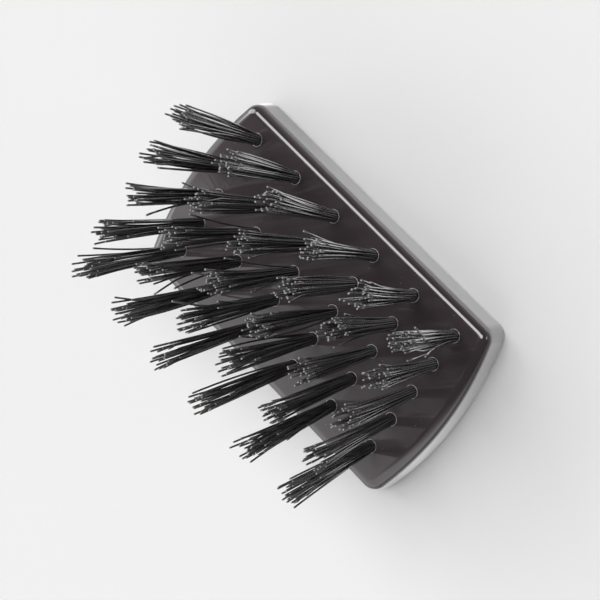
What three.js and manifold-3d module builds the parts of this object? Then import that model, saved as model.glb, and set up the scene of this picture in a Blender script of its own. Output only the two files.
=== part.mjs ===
// A palm-held beard brush lying on its back: a glossy black moulded block with thirty tufts of
// nylon bristle set in blind holes and fanned outward. Millimetres, +Z up, +X along the block.
// The origin is the middle of the block's flat back, so the bristles point up.
import * as THREE from "three";
import { mergeVertices } from "three/addons/utils/BufferGeometryUtils.js";
import Module from "manifold-3d";

const wasm = await Module();
wasm.setup();

// Block
const blockLength = 71.6; // over the middles of the two bowed ends
const blockWidth = 40.2; // over the two straight long edges
const blockThickness = 6.7;
const endBulge = 3.1; // how far an end bows out beyond its corners
const cornerRadius = 3;
const faceEdgeRadius = 2.1; // rounding between the bristle face and the wall
const backEdgeBreak = 0.6; // small slope between the wall and the flat back

// Bristle field, from the block's edges to the middles of the nearest holes
const rows = 5; // row 1 is nearest the +Y edge
const columns = 6; // column 1 is nearest the -X end
const leftMargin = 8.35;
const rightMargin = 8.55;
const rearMargin = 5.2;
const frontMargin = 7.25;
const sideLean = 9.9; // degrees outward, in the first and last row
const endLean = 5.2; // degrees outward, in the first and last column

// Holes
const holeDiameter = 2.4;
const holeFloor = 1.5; // solid plastic left under a hole

// Tufts
const bristleLength = 27.6; // out of the bristle face
const tipDiameter = 5.2; // across the loose ends
const tipCrown = 1.4; // how far the middle ends stand above the outer ones
const sideClearance = 0.15; // between a tuft's foot and its hole's wall
const footClearance = 0.3; // between a tuft's foot and its hole's floor

// Facets
const endSteps = 12;
const cornerSteps = 5;
const edgeSteps = 5;
const holeSides = 16;
const tuftSides = 10;

const upward = new THREE.Vector3(0, 0, 1);
const quarterTurn = Math.PI / 2;

const blackPlastic = new THREE.MeshStandardMaterial({
  color: 0x0b090a,
  roughness: 0.1,
  metalness: 0,
});
const blackNylon = new THREE.MeshStandardMaterial({
  color: 0x0d0d0e,
  roughness: 0.35,
  metalness: 0,
});

// Points along an arc. The last one is left out where the next arc starts on it.
function arcPoints(centreX, centreY, radius, from, to, steps, keepLast) {
  const count = keepLast ? steps + 1 : steps;
  return Array.from({ length: count }, (_, i) => {
    const turn = from + ((to - from) * i) / steps;
    return [centreX + radius * Math.cos(turn), centreY + radius * Math.sin(turn)];
  });
}

// The block's outline, moved in by inset: an end arc and the corner arcs tangent to it. Half
// of it is worked out, and the other half is the same turned half way round.
function outline(inset) {
  const halfWidth = blockWidth / 2;
  const endRadius = (halfWidth ** 2 + endBulge ** 2) / (2 * endBulge);
  const endX = blockLength / 2 - endRadius;
  const cornerY = halfWidth - cornerRadius;
  const reach = Math.sqrt((endRadius - cornerRadius) ** 2 - cornerY ** 2);
  const cornerX = endX + reach;
  const swing = Math.atan2(cornerY, reach);
  const endArc = endRadius - inset;
  const cornerArc = cornerRadius - inset;
  const half = [
    ...arcPoints(endX, 0, endArc, -swing, swing, endSteps, false),
    ...arcPoints(cornerX, cornerY, cornerArc, swing, quarterTurn, cornerSteps, true),
    ...arcPoints(-cornerX, cornerY, cornerArc, quarterTurn, Math.PI - swing, cornerSteps, false),
  ];
  return [...half, ...half.map(([x, y]) => [-x, -y])];
}

// The block without its holes: rings of the outline from the flat back up the wall and over
// the rounded edge to the bristle face, with a flat cap at each end.
function slabGeometry() {
  const levels = [
    { z: 0, inset: backEdgeBreak },
    { z: backEdgeBreak, inset: 0 },
  ];
  for (let i = 0; i <= edgeSteps; i++) {
    const turn = (quarterTurn * i) / edgeSteps;
    levels.push({
      z: blockThickness - faceEdgeRadius * (1 - Math.sin(turn)),
      inset: faceEdgeRadius * (1 - Math.cos(turn)),
    });
  }
  const rings = levels.map(({ z, inset }) => outline(inset).map(([x, y]) => [x, y, z]));
  const count = rings[0].length;
  const corners = rings.flat(2);
  const faces = [];
  for (let ring = 0; ring < rings.length - 1; ring++) {
    for (let i = 0; i < count; i++) {
      const a = ring * count + i;
      const b = ring * count + ((i + 1) % count);
      faces.push(a, b, b + count, a, b + count, a + count);
    }
  }
  const top = (rings.length - 1) * count;
  for (let i = 1; i < count - 1; i++) {
    faces.push(0, i + 1, i);
    faces.push(top, top + i, top + i + 1);
  }
  const geometry = new THREE.BufferGeometry();
  geometry.setAttribute("position", new THREE.Float32BufferAttribute(corners, 3));
  geometry.setIndex(faces);
  return geometry;
}

// A closed geometry as a solid that can be cut, and a solid as a geometry again.
function solidOf(geometry) {
  const bare = geometry.clone();
  bare.deleteAttribute("normal");
  bare.deleteAttribute("uv");
  const merged = mergeVertices(bare);
  return new wasm.Manifold(
    new wasm.Mesh({
      numProp: 3,
      vertProperties: merged.attributes.position.array,
      triVerts: new Uint32Array(merged.index.array),
    }),
  );
}

function geometryOf(solid) {
  const mesh = solid.getMesh();
  const geometry = new THREE.BufferGeometry();
  geometry.setAttribute("position", new THREE.BufferAttribute(mesh.vertProperties, 3));
  geometry.setIndex(new THREE.BufferAttribute(mesh.triVerts, 1));
  geometry.computeVertexNormals();
  return geometry;
}

// A turned solid about +Z from [radius, height] pairs that start and end on the axis.
function turned(profile, sides) {
  const geometry = new THREE.LatheGeometry(
    profile.map(([radius, height]) => new THREE.Vector2(radius, height)),
    sides,
  );
  return geometry.rotateX(quarterTurn);
}

// Where each tuft leaves the bristle face, and the way it points: the lean grows evenly from
// the middle of the field to its outermost rows and columns.
function tuftPlaces() {
  const left = -blockLength / 2 + leftMargin;
  const right = blockLength / 2 - rightMargin;
  const rear = blockWidth / 2 - rearMargin;
  const front = -blockWidth / 2 + frontMargin;
  const places = [];
  for (let row = 1; row <= rows; row++) {
    for (let column = 1; column <= columns; column++) {
      const along = (column - 1) / (columns - 1);
      const across = (row - 1) / (rows - 1);
      const leanX = THREE.MathUtils.degToRad(endLean * (2 * along - 1));
      const leanY = THREE.MathUtils.degToRad(sideLean * (1 - 2 * across));
      const root = new THREE.Vector3(
        THREE.MathUtils.lerp(left, right, along),
        THREE.MathUtils.lerp(rear, front, across),
        blockThickness,
      );
      const direction = new THREE.Vector3(Math.tan(leanX), Math.tan(leanY), 1).normalize();
      const turn = new THREE.Quaternion().setFromUnitVectors(upward, direction);
      places.push({ row, column, root, turn });
    }
  }
  return places;
}

const places = tuftPlaces();
const holeDepth = blockThickness - holeFloor;

function blockMesh() {
  const bit = turned(
    [
      [0, -holeDepth],
      [holeDiameter / 2, -holeDepth],
      [holeDiameter / 2, holeDiameter],
      [0, holeDiameter],
    ],
    holeSides,
  );
  let drilled = solidOf(slabGeometry());
  for (const { root, turn } of places) {
    const hole = bit.clone().applyQuaternion(turn).translate(...root);
    drilled = drilled.subtract(solidOf(hole));
  }
  const mesh = new THREE.Mesh(geometryOf(drilled), blackPlastic);
  mesh.name = "block";
  return mesh;
}

// One tuft, upright with the bristle face at height 0: a straight foot in the hole, then a
// bundle that flares to its loose, slightly crowned ends.
function tuftGeometry() {
  const footRadius = holeDiameter / 2 - sideClearance;
  const tipRadius = tipDiameter / 2;
  const flare = (share) => THREE.MathUtils.lerp(footRadius, tipRadius, share);
  return turned(
    [
      [0, footClearance - holeDepth],
      [footRadius, footClearance - holeDepth],
      [footRadius, holeDiameter / 2],
      [flare(0.45), bristleLength * 0.55],
      [tipRadius, bristleLength - tipCrown],
      [0.55 * tipRadius, bristleLength],
      [0, bristleLength],
    ],
    tuftSides,
  );
}

const brush = new THREE.Group();
brush.add(blockMesh());
const tuft = tuftGeometry();
for (const { row, column, root, turn } of places) {
  const mesh = new THREE.Mesh(tuft, blackNylon);
  mesh.name = `tuft_row${row}_col${column}`;
  mesh.position.copy(root);
  mesh.quaternion.copy(turn);
  brush.add(mesh);
}

export default brush;
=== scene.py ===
import math
import random

import bpy
import numpy as np
from mathutils import Matrix, Vector
from mathutils.geometry import delaunay_2d_cdt


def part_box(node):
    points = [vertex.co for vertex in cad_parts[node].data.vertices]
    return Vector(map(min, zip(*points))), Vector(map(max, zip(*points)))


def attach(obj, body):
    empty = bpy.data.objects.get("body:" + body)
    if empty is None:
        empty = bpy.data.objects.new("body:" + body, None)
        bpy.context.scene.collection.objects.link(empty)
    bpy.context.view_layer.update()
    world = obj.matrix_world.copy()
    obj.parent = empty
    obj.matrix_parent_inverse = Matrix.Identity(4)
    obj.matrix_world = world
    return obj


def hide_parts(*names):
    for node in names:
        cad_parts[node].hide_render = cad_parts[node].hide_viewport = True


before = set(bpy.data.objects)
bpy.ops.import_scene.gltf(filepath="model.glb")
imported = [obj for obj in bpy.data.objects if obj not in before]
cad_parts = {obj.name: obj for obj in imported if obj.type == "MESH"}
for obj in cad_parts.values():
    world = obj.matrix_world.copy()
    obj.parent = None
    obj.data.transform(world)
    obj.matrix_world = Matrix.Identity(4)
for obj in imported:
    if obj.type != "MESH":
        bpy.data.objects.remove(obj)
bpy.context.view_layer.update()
mm = 0.001
print("frame loaded:", len(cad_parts), "solids")


# a socket that can be added, subtracted, multiplied and divided
class Wire:
    def __init__(self, finish, socket):
        self.finish = finish
        self.socket = socket

    def maths(self, operation, *values):
        return self.finish.add("ShaderNodeMath", {"operation": operation}, dict(enumerate(values)))

    def __add__(self, other):
        return self.maths("ADD", self, other)

    def __sub__(self, other):
        return self.maths("SUBTRACT", self, other)

    def __rsub__(self, other):
        return self.maths("SUBTRACT", other, self)

    def __mul__(self, other):
        return self.maths("MULTIPLY", self, other)

    def __truediv__(self, other):
        return self.maths("DIVIDE", self, other)

    __radd__ = __add__
    __rmul__ = __mul__

    def atLeast(self, lowest):
        return self.maths("MAXIMUM", self, lowest)

    def between(self, low, high):  # 0 below low, 1 above high, smooth in the middle
        settings = {"interpolation_type": "SMOOTHSTEP"}
        inputs = {"Value": self, "From Min": low, "From Max": high}
        return self.finish.add("ShaderNodeMapRange", settings, inputs)


# a material's or the world's nodes
class Finish:
    def __init__(self, tree):
        self.tree = tree
        self.tree.nodes.clear()

    def add(self, kind, settings=None, inputs=None, output=0):
        node = self.tree.nodes.new(kind)
        for name, value in (settings or {}).items():
            setattr(node, name, value)
        for name, value in (inputs or {}).items():
            if isinstance(value, Wire):
                self.tree.links.new(value.socket, node.inputs[name])
            else:
                node.inputs[name].default_value = value
        return Wire(self, node.outputs[output]) if len(node.outputs) else None

    def place(self):
        return self.add("ShaderNodeTexCoord", output="Object")

    def split(self, vector):
        parts = self.add("ShaderNodeSeparateXYZ", {}, {"Vector": vector})
        return [Wire(self, socket) for socket in parts.socket.node.outputs]

    def noise(self, vector, scale, detail=2.0, roughness=0.5):
        inputs = {"Vector": vector, "Scale": scale, "Detail": detail, "Roughness": roughness}
        return self.add("ShaderNodeTexNoise", {}, inputs)

    def streaks(self, vector, stretch, detail=2.0, turn=0.0):  # noise drawn out along an axis
        inputs = {"Vector": vector, "Scale": stretch, "Rotation": (0, 0, turn)}
        return self.noise(self.add("ShaderNodeMapping", {}, inputs), 1.0, detail)

    def mixColour(self, mask, first, second):
        settings = {"data_type": "RGBA"}
        inputs = {"Factor": mask, 6: first, 7: second}  # sockets 6 and 7 are the two colours
        return self.add("ShaderNodeMix", settings, inputs, output=2)

    def bump(self, height, distance, strength, normal=None):
        inputs = {"Height": height, "Distance": distance, "Strength": strength}
        if normal:
            inputs["Normal"] = normal
        return self.add("ShaderNodeBump", {}, inputs)

    def surface(self, inputs):
        shader = self.add("ShaderNodeBsdfPrincipled", {}, inputs)
        self.add("ShaderNodeOutputMaterial", {}, {"Surface": shader})


def newFinish(name):
    material = bpy.data.materials.new(name)
    material.use_nodes = True
    return material, Finish(material.node_tree)


plastic = {
    "colour": (0.0200, 0.0156, 0.0170, 1),
    "roughness": 0.055,
    "ior": 1.5,
    "hazeRoughness": 0.05,  # added where hands have dulled the gloss
    "hazeScale": 55.0,
    "hazeRange": (0.42, 0.7),
    "rubRoughness": 0.16,
    "rubSets": ((0.12, 1.0), (-0.3, 0.7)),  # turn about Z and share
    "rubStretch": (90, 2600, 900),
    "rubRange": (0.66, 0.74),
    "rubPatchScale": 140.0,
    "rubPatchRange": (0.5, 0.68),
    "rubDepth": 0.004 * mm,
    "rubStrength": 0.5,
    "dustColour": (0.10, 0.095, 0.09, 1),
    "dustRoughness": 0.4,
    "dustScale": 900.0,
    "dustSize": (0.05, 0.09),
    "dustPatchScale": 260.0,
    "dustPatchRange": (0.6, 0.66),
    "swellScale": 70.0,  # the moulding is not quite flat
    "swellHeight": 0.12 * mm,
    "swellStrength": 0.25,
}


def blackPlastic():
    material, f = newFinish("black_gloss_plastic")
    place = f.place()
    haze = f.noise(place, plastic["hazeScale"], detail=3.0, roughness=0.55).between(*plastic["hazeRange"])
    # fine rub marks run mostly along the block, in two slightly different directions
    rubs = 0
    for turn, share in plastic["rubSets"]:
        lines = f.streaks(place, plastic["rubStretch"], detail=1.0, turn=turn)
        lines = lines.between(*plastic["rubRange"])
        patches = f.noise(place, plastic["rubPatchScale"], detail=1.0)
        patches = patches.between(*plastic["rubPatchRange"])
        rubs = lines * patches * share + rubs
    cells = f.add("ShaderNodeTexVoronoi", {}, {"Vector": place, "Scale": plastic["dustScale"]})
    dusty = f.noise(place, plastic["dustPatchScale"], detail=1.0).between(*plastic["dustPatchRange"])
    specks = (1 - cells.between(*plastic["dustSize"])) * dusty
    swell = f.noise(place, plastic["swellScale"], detail=1.0)
    swelled = f.bump(swell, plastic["swellHeight"], plastic["swellStrength"])
    worn = plastic["roughness"] + haze * plastic["hazeRoughness"] + rubs * plastic["rubRoughness"]
    f.surface({
        "Base Color": f.mixColour(specks, plastic["colour"], plastic["dustColour"]),
        "Roughness": worn + specks * plastic["dustRoughness"],
        "Normal": f.bump(rubs, plastic["rubDepth"], plastic["rubStrength"], swelled),
        "IOR": plastic["ior"],
    })
    return material


burr = {
    "colour": (0.07, 0.065, 0.065, 1),
    "pale": (0.26, 0.245, 0.24, 1),
    "paleRange": (0.3, 0.62),
    "roughness": 0.42,
    "tornRoughness": 0.2,
    "tornScale": 1500.0,
    "tornHeight": 0.03 * mm,
    "tornStrength": 0.5,
}


def whitenedBurr():
    # plastic turned pale where the drill came in
    material, f = newFinish("drilled_burr")
    torn = f.noise(f.place(), burr["tornScale"])
    f.surface({
        "Base Color": f.mixColour(torn.between(*burr["paleRange"]), burr["colour"], burr["pale"]),
        "Roughness": burr["roughness"] + burr["tornRoughness"] * torn,
        "Normal": f.bump(torn, burr["tornHeight"], burr["tornStrength"]),
    })
    return material


nylon = {
    "colour": (0.0175, 0.0170, 0.0175, 1),
    "roughness": 0.17,
    "ior": 1.53,
    "worn": (0.036, 0.035, 0.034, 1),
    "wornRoughness": 0.1,
    "wornStretch": (1500, 1500, 70),
    "wornRange": (0.35, 0.7),
    "drawnStretch": (9000, 9000, 160),  # faint lines from drawing the filament
    "drawnDepth": 0.004 * mm,
    "drawnStrength": 0.25,
}


def blackNylon():
    material, f = newFinish("black_nylon")
    place = f.place()
    tone = f.streaks(place, nylon["wornStretch"]).between(*nylon["wornRange"])
    drawn = f.streaks(place, nylon["drawnStretch"], detail=1.0)
    f.surface({
        "Base Color": f.mixColour(tone, nylon["colour"], nylon["worn"]),
        "Roughness": nylon["roughness"] + nylon["wornRoughness"] * tone,
        "Normal": f.bump(drawn, nylon["drawnDepth"], nylon["drawnStrength"]),
        "IOR": nylon["ior"],
    })
    return material


cutEnd = {
    "colour": (0.05, 0.05, 0.05, 1),
    "pale": (0.12, 0.118, 0.114, 1),
    "paleRange": (0.45, 0.62),
    "roughness": 0.5,
    "grainRoughness": 0.2,
    "grainScale": 2600.0,
    "grainHeight": 0.03 * mm,
    "grainStrength": 0.6,
}


def cutNylon():
    material, f = newFinish("cut_nylon_ends")
    grain = f.noise(f.place(), cutEnd["grainScale"])
    f.surface({
        "Base Color": f.mixColour(grain.between(*cutEnd["paleRange"]), cutEnd["colour"], cutEnd["pale"]),
        "Roughness": cutEnd["roughness"] + cutEnd["grainRoughness"] * grain,
        "Normal": f.bump(grain, cutEnd["grainHeight"], cutEnd["grainStrength"]),
        "IOR": nylon["ior"],
    })
    return material


steel = {
    "colour": (0.62, 0.61, 0.58, 1),
    "roughness": 0.26,
    "tarnish": (0.34, 0.31, 0.27, 1),
    "tarnishRoughness": 0.15,
    "tarnishScale": 1400.0,
    "tarnishRange": (0.52, 0.72),
    "rolledRoughness": 0.2,
    "rolledStretch": (400, 400, 9000),  # lines left by the rollers
    "rolledDepth": 0.01 * mm,
    "rolledStrength": 0.4,
}


def flatWireSteel():
    material, f = newFinish("flat_wire_steel")
    place = f.place()
    rolled = f.streaks(place, steel["rolledStretch"])
    spots = f.noise(place, steel["tarnishScale"], detail=3.0).between(*steel["tarnishRange"])
    lined = steel["roughness"] + steel["rolledRoughness"] * rolled
    f.surface({
        "Base Color": f.mixColour(spots, steel["colour"], steel["tarnish"]),
        "Metallic": 1.0,
        "Roughness": lined + steel["tarnishRoughness"] * spots,
        "Normal": f.bump(rolled, steel["rolledDepth"], steel["rolledStrength"]),
    })
    return material


plasticFinish = blackPlastic()
burrFinish = whitenedBurr()
nylonFinish = blackNylon()
cutFinish = cutNylon()
steelFinish = flatWireSteel()
print("finishes made")

rowSeedStep = 37  # more than the columns, so that no two tufts share their draws


def tuftAxis(node):
    # where the tuft's solid crosses the bristle face, which way it leans, and how far it reaches
    points = np.array([v.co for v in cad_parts[node].data.vertices])
    middle = points.mean(axis=0)
    axis = np.linalg.svd(points - middle)[2][0]
    axis = axis * np.sign(axis[2])
    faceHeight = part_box("block")[1].z
    root = middle + axis * (faceHeight - middle[2]) / axis[2]
    reach = ((points - root) @ axis).max()
    return Vector(root), Vector(axis), reach


class Tuft:
    def __init__(self, row, column):
        self.name = f"row{row}_col{column}"
        self.node = "tuft_" + self.name
        self.row = row
        self.column = column
        self.root, self.axis, self.reach = tuftAxis(self.node)
        self.acrossX = (Vector((1, 0, 0)) - self.axis * self.axis.x).normalized()
        self.acrossY = self.axis.cross(self.acrossX)

    def point(self, u, v, w):
        return self.root + self.acrossX * u + self.acrossY * v + self.axis * w

    def draws(self, seed):  # the same on every run
        return random.Random(seed + rowSeedStep * self.row + self.column)


rowCount = sum(name.endswith("_col1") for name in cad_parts)
columnCount = sum(name.startswith("tuft_row1_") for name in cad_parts)
tufts = [Tuft(row + 1, column + 1) for row in range(rowCount) for column in range(columnCount)]
print("tufts placed:", len(tufts))


def meshObject(name, vertices, faces, materials, slots=None, smooth=None):
    mesh = bpy.data.meshes.new(name)
    mesh.from_pydata([tuple(v) for v in vertices], [], faces)
    for material in materials:
        mesh.materials.append(material)
    if slots is not None:
        mesh.polygons.foreach_set("material_index", slots)
    mesh.polygons.foreach_set("use_smooth", smooth or [False] * len(faces))
    mesh.update()
    thing = bpy.data.objects.new(name, mesh)
    bpy.context.scene.collection.objects.link(thing)
    return thing


block = {
    "endBulge": 3.1 * mm,
    "cornerRadius": 3.0 * mm,
    "faceEdgeRadius": 2.1 * mm,
    "backEdgeRadius": 0.5 * mm,
    "holeDiameter": 2.4 * mm,
    "holeFloor": 1.5 * mm,
    "holeRing": 0.25,  # of the depth, a ring that keeps the wall's shading even
    "drillPoint": 0.2 * mm,
    "burrWidth": 0.12 * mm,
    "burrHeight": 0.06 * mm,
    "burrRagged": (0.6, 1.2),  # its height from place to place
    "burrSeed": 500,
    "burrSteps": 5,
    "endSteps": 48,
    "cornerSteps": 14,
    "backSteps": 4,
    "edgeSteps": 14,
    "holeSides": 40,
}


def arcPoints(x, y, radius, start, end, steps, keepLast):
    turns = [start + (end - start) * i / steps for i in range(steps + keepLast)]
    return [(x + radius * math.cos(t), y + radius * math.sin(t), t) for t in turns]


def blockOutline(inset):
    # end arc, then the two corner arcs beside it; the other half is the same turned half way
    low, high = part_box("block")
    halfLength = (high.x - low.x) / 2
    halfWidth = (high.y - low.y) / 2
    endRadius = (halfWidth ** 2 + block["endBulge"] ** 2) / (2 * block["endBulge"])
    endX = halfLength - endRadius
    corner = block["cornerRadius"]
    cornerY = halfWidth - corner
    reach = math.sqrt((endRadius - corner) ** 2 - cornerY ** 2)
    swing = math.atan2(cornerY, reach)
    quarter = math.pi / 2
    steps = block["cornerSteps"]
    half = arcPoints(endX, 0, endRadius - inset, -swing, swing, block["endSteps"], False)
    half += arcPoints(endX + reach, cornerY, corner - inset, swing, quarter, steps, True)
    half += arcPoints(-endX - reach, cornerY, corner - inset, quarter, math.pi - swing, steps, False)
    return half + [(-x, -y, turn + math.pi) for x, y, turn in half]


def blockLevels(thickness):
    # (height, inset, tilt of the surface: -90 faces down, 0 out, 90 up)
    levels = []
    back = block["backEdgeRadius"]
    face = block["faceEdgeRadius"]
    for i in range(block["backSteps"] + 1):
        tilt = -math.pi / 2 * (1 - i / block["backSteps"])
        levels.append((back * (1 + math.sin(tilt)), back * (1 - math.cos(tilt)), tilt))
    for i in range(block["edgeSteps"] + 1):
        tilt = math.pi / 2 * i / block["edgeSteps"]
        levels.append((thickness - face * (1 - math.sin(tilt)), face * (1 - math.cos(tilt)), tilt))
    return levels


class BlockMesh:
    def __init__(self):
        self.vertices = []
        self.normals = []
        self.faces = []
        self.slots = []

    def loop(self, points, normals):
        start = len(self.vertices)
        self.vertices += points
        self.normals += normals
        return list(range(start, len(self.vertices)))

    def face(self, corners, slot=0):
        self.faces.append(tuple(corners))
        self.slots.append(slot)

    def bridge(self, first, second, slot=0):
        for i, a in enumerate(first):
            j = (i + 1) % len(first)
            self.face((a, first[j], second[j], second[i]), slot)

    def fill(self, outer, inner=(), upward=True):
        # a flat cap inside outer with the inner loops left open
        loops = [outer, *inner]
        order = [i for ring in loops for i in ring]
        flat = [Vector(self.vertices[i][:2]) for i in order]
        rings = []
        start = 0
        for ring in loops:
            rings.append(list(range(start, start + len(ring))))
            start += len(ring)
        edges = [(ring[i - 1], ring[i]) for ring in rings for i in range(len(ring))]
        insideWithHoles = 2  # triangles between the loops and none inside the inner ones
        tolerance = 1e-7
        made = delaunay_2d_cdt(flat, edges, rings, insideWithHoles, tolerance)
        origin = {new: old[0] for new, old in enumerate(made[3]) if old}
        for face in made[2]:
            corners = [order[origin[i]] for i in face]
            a, b, c = (Vector(self.vertices[i]) for i in corners[:3])
            if ((b - a).cross(c - a).z > 0) != upward:
                corners.reverse()
            self.face(corners)


def addHole(shape, tuft, faceHeight):
    # a thin raised burr round the mouth, then the leaning blind hole
    radius = block["holeDiameter"] / 2
    turns = [2 * math.pi * i / block["holeSides"] for i in range(block["holeSides"])]
    spokes = [tuft.acrossX * math.cos(t) + tuft.acrossY * math.sin(t) for t in turns]
    mouth = []
    for spoke in spokes:
        edge = tuft.root + spoke * radius
        mouth.append(edge - tuft.axis * (edge.z - faceHeight) / tuft.axis.z)
    outward = [Vector((p.x - tuft.root.x, p.y - tuft.root.y, 0)).normalized() for p in mouth]
    rng = tuft.draws(block["burrSeed"])
    ragged = [rng.uniform(*block["burrRagged"]) for spoke in spokes]
    up = Vector((0, 0, 1))
    loops = []
    for step in range(block["burrSteps"] + 1):
        share = step / block["burrSteps"]
        rise = block["burrHeight"] * math.sin(math.pi * share)
        slope = math.cos(math.pi * share) * math.pi * block["burrHeight"] / block["burrWidth"]
        points = [p + out * block["burrWidth"] * (1 - share) for p, out in zip(mouth, outward)]
        points = [Vector((p.x, p.y, faceHeight + rise * r)) for p, r in zip(points, ragged)]
        normals = [up if step == 0 else (up + out * slope).normalized() for out in outward]
        loops.append(shape.loop(points, normals))
    depth = faceHeight - block["holeFloor"]
    for drop in (block["holeRing"] * depth, depth):
        points = [tuft.root + spoke * radius - tuft.axis * drop for spoke in spokes]
        loops.append(shape.loop(points, [-spoke for spoke in spokes]))
    for i, (upper, lower) in enumerate(zip(loops, loops[1:])):
        shape.bridge(upper, lower, 1 if i < block["burrSteps"] else 0)
    centre = shape.loop([tuft.root - tuft.axis * (depth + block["drillPoint"])], [tuft.axis])[0]
    bottom = loops[-1]
    for i, a in enumerate(bottom):
        shape.face((a, bottom[(i + 1) % len(bottom)], centre))
    return loops[0]


def makeBlock():
    low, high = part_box("block")
    shape = BlockMesh()
    rings = []
    for height, inset, tilt in blockLevels(high.z - low.z):
        outline = blockOutline(inset)
        points = [Vector((x, y, low.z + height)) for x, y, turn in outline]
        flat = math.cos(tilt)
        rise = math.sin(tilt)
        normals = [Vector((flat * math.cos(t), flat * math.sin(t), rise)) for x, y, t in outline]
        rings.append(shape.loop(points, normals))
    for lower, upper in zip(rings, rings[1:]):
        shape.bridge(lower, upper)
    shape.fill(rings[0], upward=False)
    mouths = [addHole(shape, tuft, high.z) for tuft in tufts]
    shape.fill(rings[-1], mouths)
    materials = [plasticFinish, burrFinish]
    smooth = [True] * len(shape.faces)
    thing = meshObject("brush_block", shape.vertices, shape.faces, materials, shape.slots, smooth)
    thing.data.normals_split_custom_set_from_vertices([tuple(n.normalized()) for n in shape.normals])
    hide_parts("block")
    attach(thing, "root")
    print("block made:", len(shape.faces), "faces")


bristle = {
    "diameter": 0.36 * mm,
    "sides": 8,
    "packing": 1.04,  # room between neighbours in the hole, in diameters
    "core": 0.3,  # no ring of legs smaller than this many of those rooms
    "wallGap": 0.04 * mm,
    "flare": 2.25,  # how much wider the loose ends stand than the foot
    "lengthSpread": 1.1 * mm,
    "shortShare": 0.14,  # legs cut clearly short
    "shortBy": 3.6 * mm,
    "shortRange": (0.2, 1.0),
    "clumps": (3, 5),
    "clumpPlace": (0.25, 0.75),  # of the hole's radius, away from its middle
    "clumpPull": 0.16,  # how far the ends draw together inside a clump
    "clumpDrift": 0.5 * mm,
    "clumpDriftRange": (0.2, 1.0),
    "clumpDrop": 0.4 * mm,
    "looseness": 0.3 * mm,
    "bow": 0.3 * mm,
    "bowTurn": 0.25,  # radians to either side of straight out
    "openEarly": 0.45,  # share of the spreading that is even along the leg
    "rim": 0.8,  # strays come from outside this much of the radius
    "strays": (0, 3),
    "strayAngle": 7.5,  # degrees
    "strayRange": (0.6, 1.0),
    "strayShorter": (0.1, 0.3),
    "kinkShare": 0.06,
    "kinkAngle": 16.0,
    "kinkRange": (0.5, 1.2),
    "kinkStart": (0.7, 0.86),
    "leanJitter": 0.7,  # degrees, each tuft as a whole
    "steps": 9,
    "anchorTop": 2.3 * mm,  # below the bristle face
    "anchorBottom": 3.75 * mm,
    "anchorHalf": 0.19 * mm,
    "gather": 0.55,  # of anchorTop, where the legs begin to close in on the anchor
    "foldDepth": 0.75 * mm,
    "foldSteps": 6,
    "seed": 1000,
}


def packedFeet(rng, radius):
    # legs stand in rings, the outermost against the wall of the hole
    pitch = bristle["diameter"] * bristle["packing"]
    spots = []
    ring = radius
    while ring > bristle["core"] * pitch:
        count = max(1, int(2 * math.pi * ring / pitch))
        start = rng.uniform(0, 2 * math.pi)
        for i in range(count):
            turn = start + 2 * math.pi * i / count
            spots.append((ring * math.cos(turn), ring * math.sin(turn)))
        ring -= pitch
    if len(spots) % 2:
        spots.pop()
    return spots


def pairFeet(spots):
    # a filament's two legs stand on either side of the anchor, at about the same v
    left = sorted(spots)[: len(spots) // 2]
    right = [s for s in spots if s not in left]
    left.sort(key=lambda s: s[1])
    right.sort(key=lambda s: s[1])
    return list(zip(left, right))


def makeClumps(rng, radius):
    clumps = []
    count = rng.randint(*bristle["clumps"])
    for i in range(count):
        turn = 2 * math.pi * (i + rng.random()) / count
        away = radius * rng.uniform(*bristle["clumpPlace"])
        drift = rng.uniform(0, 2 * math.pi)
        push = rng.uniform(*bristle["clumpDriftRange"]) * bristle["clumpDrift"]
        clumps.append({
            "u": away * math.cos(turn),
            "v": away * math.sin(turn),
            "du": push * math.cos(drift),
            "dv": push * math.sin(drift),
            "drop": abs(rng.gauss(0, bristle["clumpDrop"])),
        })
    return clumps


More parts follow.
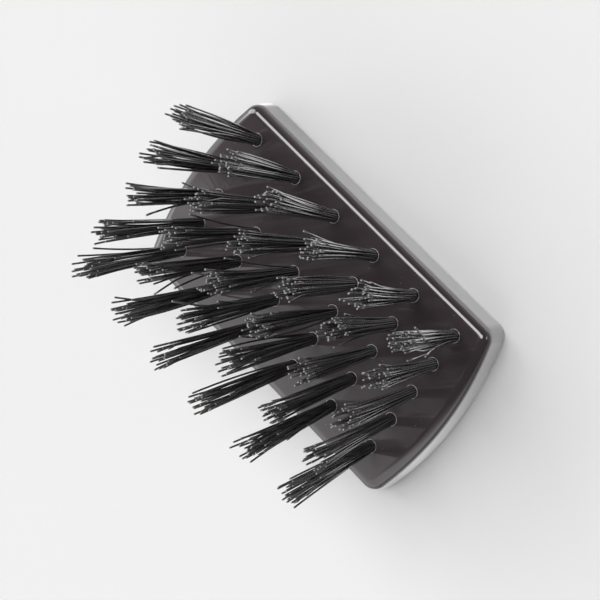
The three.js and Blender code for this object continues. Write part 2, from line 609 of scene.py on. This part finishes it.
def legShape(rng, foot, lean, clumps, reach, stray):
    # how one leg runs above the face: its end, its bow and a late kink
    angle = math.atan2(foot[1], foot[0]) + rng.uniform(-bristle["bowTurn"], bristle["bowTurn"])
    clump = min(clumps, key=lambda c: (c["u"] - foot[0]) ** 2 + (c["v"] - foot[1]) ** 2)
    uneven = rng.expovariate(1 / bristle["lengthSpread"])
    length = reach - clump["drop"] - min(uneven, bristle["shortBy"])
    if rng.random() < bristle["shortShare"]:
        length -= rng.uniform(*bristle["shortRange"]) * bristle["shortBy"]
    pull = bristle["clumpPull"]
    flare = bristle["flare"]
    loose = bristle["looseness"]
    u = (foot[0] * (1 - pull) + clump["u"] * pull) * flare + clump["du"] + rng.gauss(0, loose)
    v = (foot[1] * (1 - pull) + clump["v"] * pull) * flare + clump["dv"] + rng.gauss(0, loose)
    bow = rng.gauss(0, bristle["bow"])
    if stray:
        splay = math.radians(bristle["strayAngle"] * rng.uniform(*bristle["strayRange"]))
        u = foot[0] + math.tan(splay) * length * math.cos(angle)
        v = foot[1] + math.tan(splay) * length * math.sin(angle)
        length -= rng.uniform(*bristle["strayShorter"]) * length
    kink = 0.0
    if rng.random() < bristle["kinkShare"]:
        kink = math.tan(math.radians(bristle["kinkAngle"] * rng.uniform(*bristle["kinkRange"])))
    kinkTurn = rng.uniform(0, 2 * math.pi)
    kinkStart = rng.uniform(*bristle["kinkStart"])
    early = bristle["openEarly"]
    leg = []
    for i in range(bristle["steps"] + 1):
        s = i / bristle["steps"]
        opened = early * s + (1 - early) * s * s
        arch = bow * 4 * s * (1 - s)  # widest half way up
        late = max(0.0, s - kinkStart) * length * kink
        across = foot[0] + (u - foot[0]) * opened + arch * math.cos(angle) + late * math.cos(kinkTurn)
        along = foot[1] + (v - foot[1]) * opened + arch * math.sin(angle) + late * math.sin(kinkTurn)
        leg.append((across + lean[0] * s * length, along + lean[1] * s * length, s * length))
    return leg


def squeezed(foot, radius):
    # beside the anchor a leg has only its own half of the hole
    room = bristle["anchorHalf"] + bristle["diameter"] / 2
    side = math.copysign(1, foot[0])
    u = side * (room + abs(foot[0]) * (radius - room) / radius)
    reach = math.sqrt(max(radius ** 2 - u ** 2, 0))
    v = max(-reach, min(reach, foot[1]))
    return u, v


def filamentPath(rng, tuft, feet, lean, clumps, strays, radius):
    # down one leg, round under the anchor and up the other
    legs = []
    for foot in feet:
        leg = legShape(rng, foot, lean, clumps, tuft.reach, foot in strays)
        u, v = squeezed(foot, radius)
        gathered = ((u + foot[0]) / 2, (v + foot[1]) / 2, -bristle["gather"] * bristle["anchorTop"])
        beside = [(u, v, -bristle["anchorBottom"]), (u, v, -bristle["anchorTop"])]
        legs.append(beside + [gathered] + leg)
    first, last = legs[0][0], legs[1][0]
    depth = bristle["foldDepth"] * abs(last[0] - first[0]) / (2 * radius)
    fold = []
    for i in range(1, bristle["foldSteps"]):
        turn = math.pi * i / bristle["foldSteps"]
        share = (1 - math.cos(turn)) / 2
        u = first[0] + (last[0] - first[0]) * share
        v = first[1] + (last[1] - first[1]) * share
        fold.append((u, v, -bristle["anchorBottom"] - depth * math.sin(turn)))
    return legs[0][::-1] + fold + legs[1]


def tube(points, radius, sides):
    # rings along a path, each ring's frame carried on from the one before
    vertices = []
    side = None
    for i, point in enumerate(points):
        ahead = points[min(i + 1, len(points) - 1)]
        behind = points[max(i - 1, 0)]
        along = (ahead - behind).normalized()
        side = side or along.orthogonal()
        side = (side - along * side.dot(along)).normalized()
        other = along.cross(side)
        for k in range(sides):
            turn = 2 * math.pi * k / sides
            vertices.append(point + side * (radius * math.cos(turn)) + other * (radius * math.sin(turn)))
    return vertices


def makeTuft(tuft):
    rng = tuft.draws(bristle["seed"])
    sides = bristle["sides"]
    thin = bristle["diameter"] / 2
    radius = block["holeDiameter"] / 2 - thin - bristle["wallGap"]
    spots = packedFeet(rng, radius)
    jitter = math.radians(bristle["leanJitter"])
    lean = (rng.gauss(0, jitter), rng.gauss(0, jitter))
    clumps = makeClumps(rng, radius)
    rim = [s for s in spots if math.hypot(*s) > bristle["rim"] * radius]
    strays = rng.sample(rim, rng.randint(*bristle["strays"]))
    vertices = []
    faces = []
    slots = []
    for feet in pairFeet(spots):
        path = [tuft.point(*p) for p in filamentPath(rng, tuft, feet, lean, clumps, strays, radius)]
        start = len(vertices)
        vertices += tube(path, thin, sides)
        for ring in range(len(path) - 1):
            for k in range(sides):
                a = start + ring * sides + k
                b = start + ring * sides + (k + 1) % sides
                faces.append((a, b, b + sides, a + sides))
                slots.append(0)
        last = start + (len(path) - 1) * sides
        faces.append(tuple(range(start + sides - 1, start - 1, -1)))
        faces.append(tuple(range(last, last + sides)))
        slots += [1, 1]
    materials = [nylonFinish, cutFinish]
    roundSides = [slot == 0 for slot in slots]
    thing = meshObject("bristles_" + tuft.name, vertices, faces, materials, slots, roundSides)
    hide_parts(tuft.node)
    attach(thing, "root")
    return len(faces)


anchor = {
    "length": 3.0 * mm,  # longer than the hole is wide, so that it bites
    "edgeSteps": 4,
    "shear": 0.12 * mm,  # how far the cut ends slant
    "endChamfer": 0.04 * mm,
}


def anchorSection(half, low, high, steps):
    # flat rolled wire: two flats and two rounded edges
    section = []
    for middle, start in ((high - half, 0.0), (low + half, math.pi)):
        for i in range(steps + 1):
            turn = start + math.pi * i / steps
            section.append((half * math.cos(turn), middle + half * math.sin(turn)))
    return section


def makeAnchor(tuft):
    half = bristle["anchorHalf"]
    section = anchorSection(half, -bristle["anchorBottom"], -bristle["anchorTop"], anchor["edgeSteps"])
    middle = -(bristle["anchorBottom"] + bristle["anchorTop"]) / 2
    reach = anchor["length"] / 2
    chamfer = anchor["endChamfer"]
    cuts = ((-reach, chamfer), (-reach + chamfer, 0), (reach - chamfer, 0), (reach, chamfer))
    vertices = []
    for place, shrink in cuts:
        for u, w in section:
            slant = anchor["shear"] * u / half * math.copysign(1, place)
            inward = 1 - shrink / half
            vertices.append(tuft.point(u * inward, place + slant, middle + (w - middle) * inward))
    count = len(section)
    faces = []
    for ring in range(len(cuts) - 1):
        for k in range(count):
            a = ring * count + k
            b = ring * count + (k + 1) % count
            faces.append((a, a + count, b + count, b))
    faces.append(tuple(range(count)))
    faces.append(tuple(range(len(vertices) - 1, len(vertices) - 1 - count, -1)))
    thing = meshObject("anchor_" + tuft.name, vertices, faces, [steelFinish])
    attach(thing, "root")


camera = {
    "place": (0.16447, 0.19264, 0.39667),
    "target": (0.00116, 0.00073, 0.0123),
    "roll": -98.95,  # degrees
    "lens": 149.9,
    "sensor": 36,
    "nearest": 0.01,
}


def makeCamera():
    data = bpy.data.cameras.new("camera")
    data.lens = camera["lens"]
    data.sensor_width = camera["sensor"]
    data.clip_start = camera["nearest"]
    thing = bpy.data.objects.new("camera", data)
    bpy.context.scene.collection.objects.link(thing)
    sight = Vector(camera["target"]) - Vector(camera["place"])
    turn = sight.to_track_quat("-Z", "Y").to_matrix().to_4x4()
    roll = Matrix.Rotation(math.radians(camera["roll"]), 4, "Z")
    thing.matrix_world = Matrix.Translation(camera["place"]) @ turn @ roll
    bpy.context.scene.camera = thing
    print("camera placed")


# x, y and z here are the parts of a unit direction out into the room
studio = {
    "backdrop": 0.863,  # what the camera sees behind the floor
    "ceiling": 0.08,
    "window": 1.55,  # bright low side below a plane, added to the ceiling
    "windowPlane": (0.26, 1.0, 0.61),
    "windowFoot": -0.02,
    "windowSoft": (0.004, 0.3),  # its soft upper edge, and how much softer that gets along x
    "windowSoftX": (-0.25, 0.6),
    "sill": 0.75,  # more light below the same plane, with a sharper edge
    "sillSoft": (0.002, 0.05),
    "sillSoftX": (-0.42, -0.28),
    "farWall": 0.7,
    "farWallY": (0.3, 0.9),
    "farWallZ": (0.15, 0.55),
    "softbox": 13.0,  # long and bent, over the back edge; sizes are on a ceiling one unit up
    "softboxMiddle": (-0.15, 0.31),
    "softboxBend": 0.6,
    "softboxHalfWidth": (0.10, 0.30),
    "softboxHalfLength": (0.5, 0.57),
    "softboxZ": (0.3, 0.4),
    "lowestZ": 0.05,
    # round lamps: direction, radiance, cosine at the soft edge's outer and inner side
    "lamps": (
        ((-0.60, -0.66, 0.45), 3.0, 0.945, 0.975),
        ((-0.80, 0.05, 0.55), 9.0, 0.92, 0.965),
        ((0.72, 0.62, 0.32), 4.0, 0.985, 0.994),
    ),
}


def softboxLight(x, y, z):
    height = z.atLeast(studio["lowestZ"])
    middleX, middleY = studio["softboxMiddle"]
    fromMiddle = x / height - middleX
    alongSquare = fromMiddle * fromMiddle
    offset = y / height - middleY - studio["softboxBend"] * alongSquare
    narrow, wide = (w * w for w in studio["softboxHalfWidth"])
    near, far = (w * w for w in studio["softboxHalfLength"])
    across = 1 - (offset * offset).between(narrow, wide)
    return across * (1 - alongSquare.between(near, far)) * z.between(*studio["softboxZ"])


def makeWorld(scene):
    world = bpy.data.worlds.new("studio")
    world.use_nodes = True
    scene.world = world
    f = Finish(world.node_tree)
    x, y, z = f.split(f.add("ShaderNodeTexCoord", output="Generated"))
    a, b, c = studio["windowPlane"]
    above = x * a + y * b + z * c
    sharp, soft = studio["windowSoft"]
    shut = above.between(studio["windowFoot"], sharp + soft * x.between(*studio["windowSoftX"]))
    light = studio["window"] * (1 - shut)
    sharp, soft = studio["sillSoft"]
    shut = above.between(studio["windowFoot"], sharp + soft * x.between(*studio["sillSoftX"]))
    light = light + studio["sill"] * (1 - shut)
    low = 1 - z.between(*studio["farWallZ"])
    light = light + studio["farWall"] * y.between(*studio["farWallY"]) * low
    light = light + studio["ceiling"] + studio["softbox"] * softboxLight(x, y, z)
    for toward, radiance, outer, inner in studio["lamps"]:
        aim = Vector(toward).normalized()
        light = light + radiance * (x * aim.x + y * aim.y + z * aim.z).between(outer, inner)
    seen = f.add("ShaderNodeLightPath", output="Is Camera Ray")
    strength = light * (1 - seen) + studio["backdrop"] * seen
    background = f.add("ShaderNodeBackground", {}, {"Color": (1, 1, 1, 1), "Strength": strength})
    f.add("ShaderNodeOutputWorld", {}, {"Surface": background})


floor = {
    "colour": (0.33, 0.33, 0.33, 1),
    "roughness": 0.9,
    "paintedGlossLight": (1.5, 1.5, 1.5, 1),  # painted light: how bright a patch of the floor looks in the gloss only, a painted reflection on the block's walls
    "paintedLightX": (-0.08, 0.01),
    "paintedLightY": (-0.026, -0.01),
    # painted shadow: the bright patch stops toward +x, so the right end's reflection goes dark
    "paintedShadeX": (0.037, 0.046),
    "half": 2.0,
}


def makeFloor():
    half = floor["half"]
    corners = [(-half, -half, 0), (half, -half, 0), (half, half, 0), (-half, half, 0)]
    material, f = newFinish("pale_floor")
    # painted reflection: glossy rays see a patch of the floor brighter than white, so the block's walls
    # show painted light
    paintedGlossLight = f.add("ShaderNodeLightPath", output="Is Glossy Ray")
    x, y = f.split(f.place())[:2]
    paintedLightPatch = x.between(*floor["paintedLightX"]) * y.between(*floor["paintedLightY"])
    # painted shadow: the patch fades out toward +x, darkening the right end's reflection
    paintedLightPatch = paintedLightPatch * (1 - x.between(*floor["paintedShadeX"]))
    colour = f.mixColour(paintedGlossLight * paintedLightPatch, floor["colour"], floor["paintedGlossLight"])
    f.surface({"Base Color": colour, "Roughness": floor["roughness"], "Specular IOR Level": 0.0})
    meshObject("floor", corners, [(0, 1, 2, 3)], [material])


def makeStudio():
    scene = bpy.context.scene
    scene.view_settings.view_transform = "Standard"
    makeWorld(scene)
    makeFloor()
    print("studio made")


makeCamera()
makeStudio()
makeBlock()
faceCount = sum(makeTuft(tuft) for tuft in tufts)
print("tufts made:", faceCount, "faces")
for tuft in tufts:
    makeAnchor(tuft)
print("anchors made:", len(tufts))
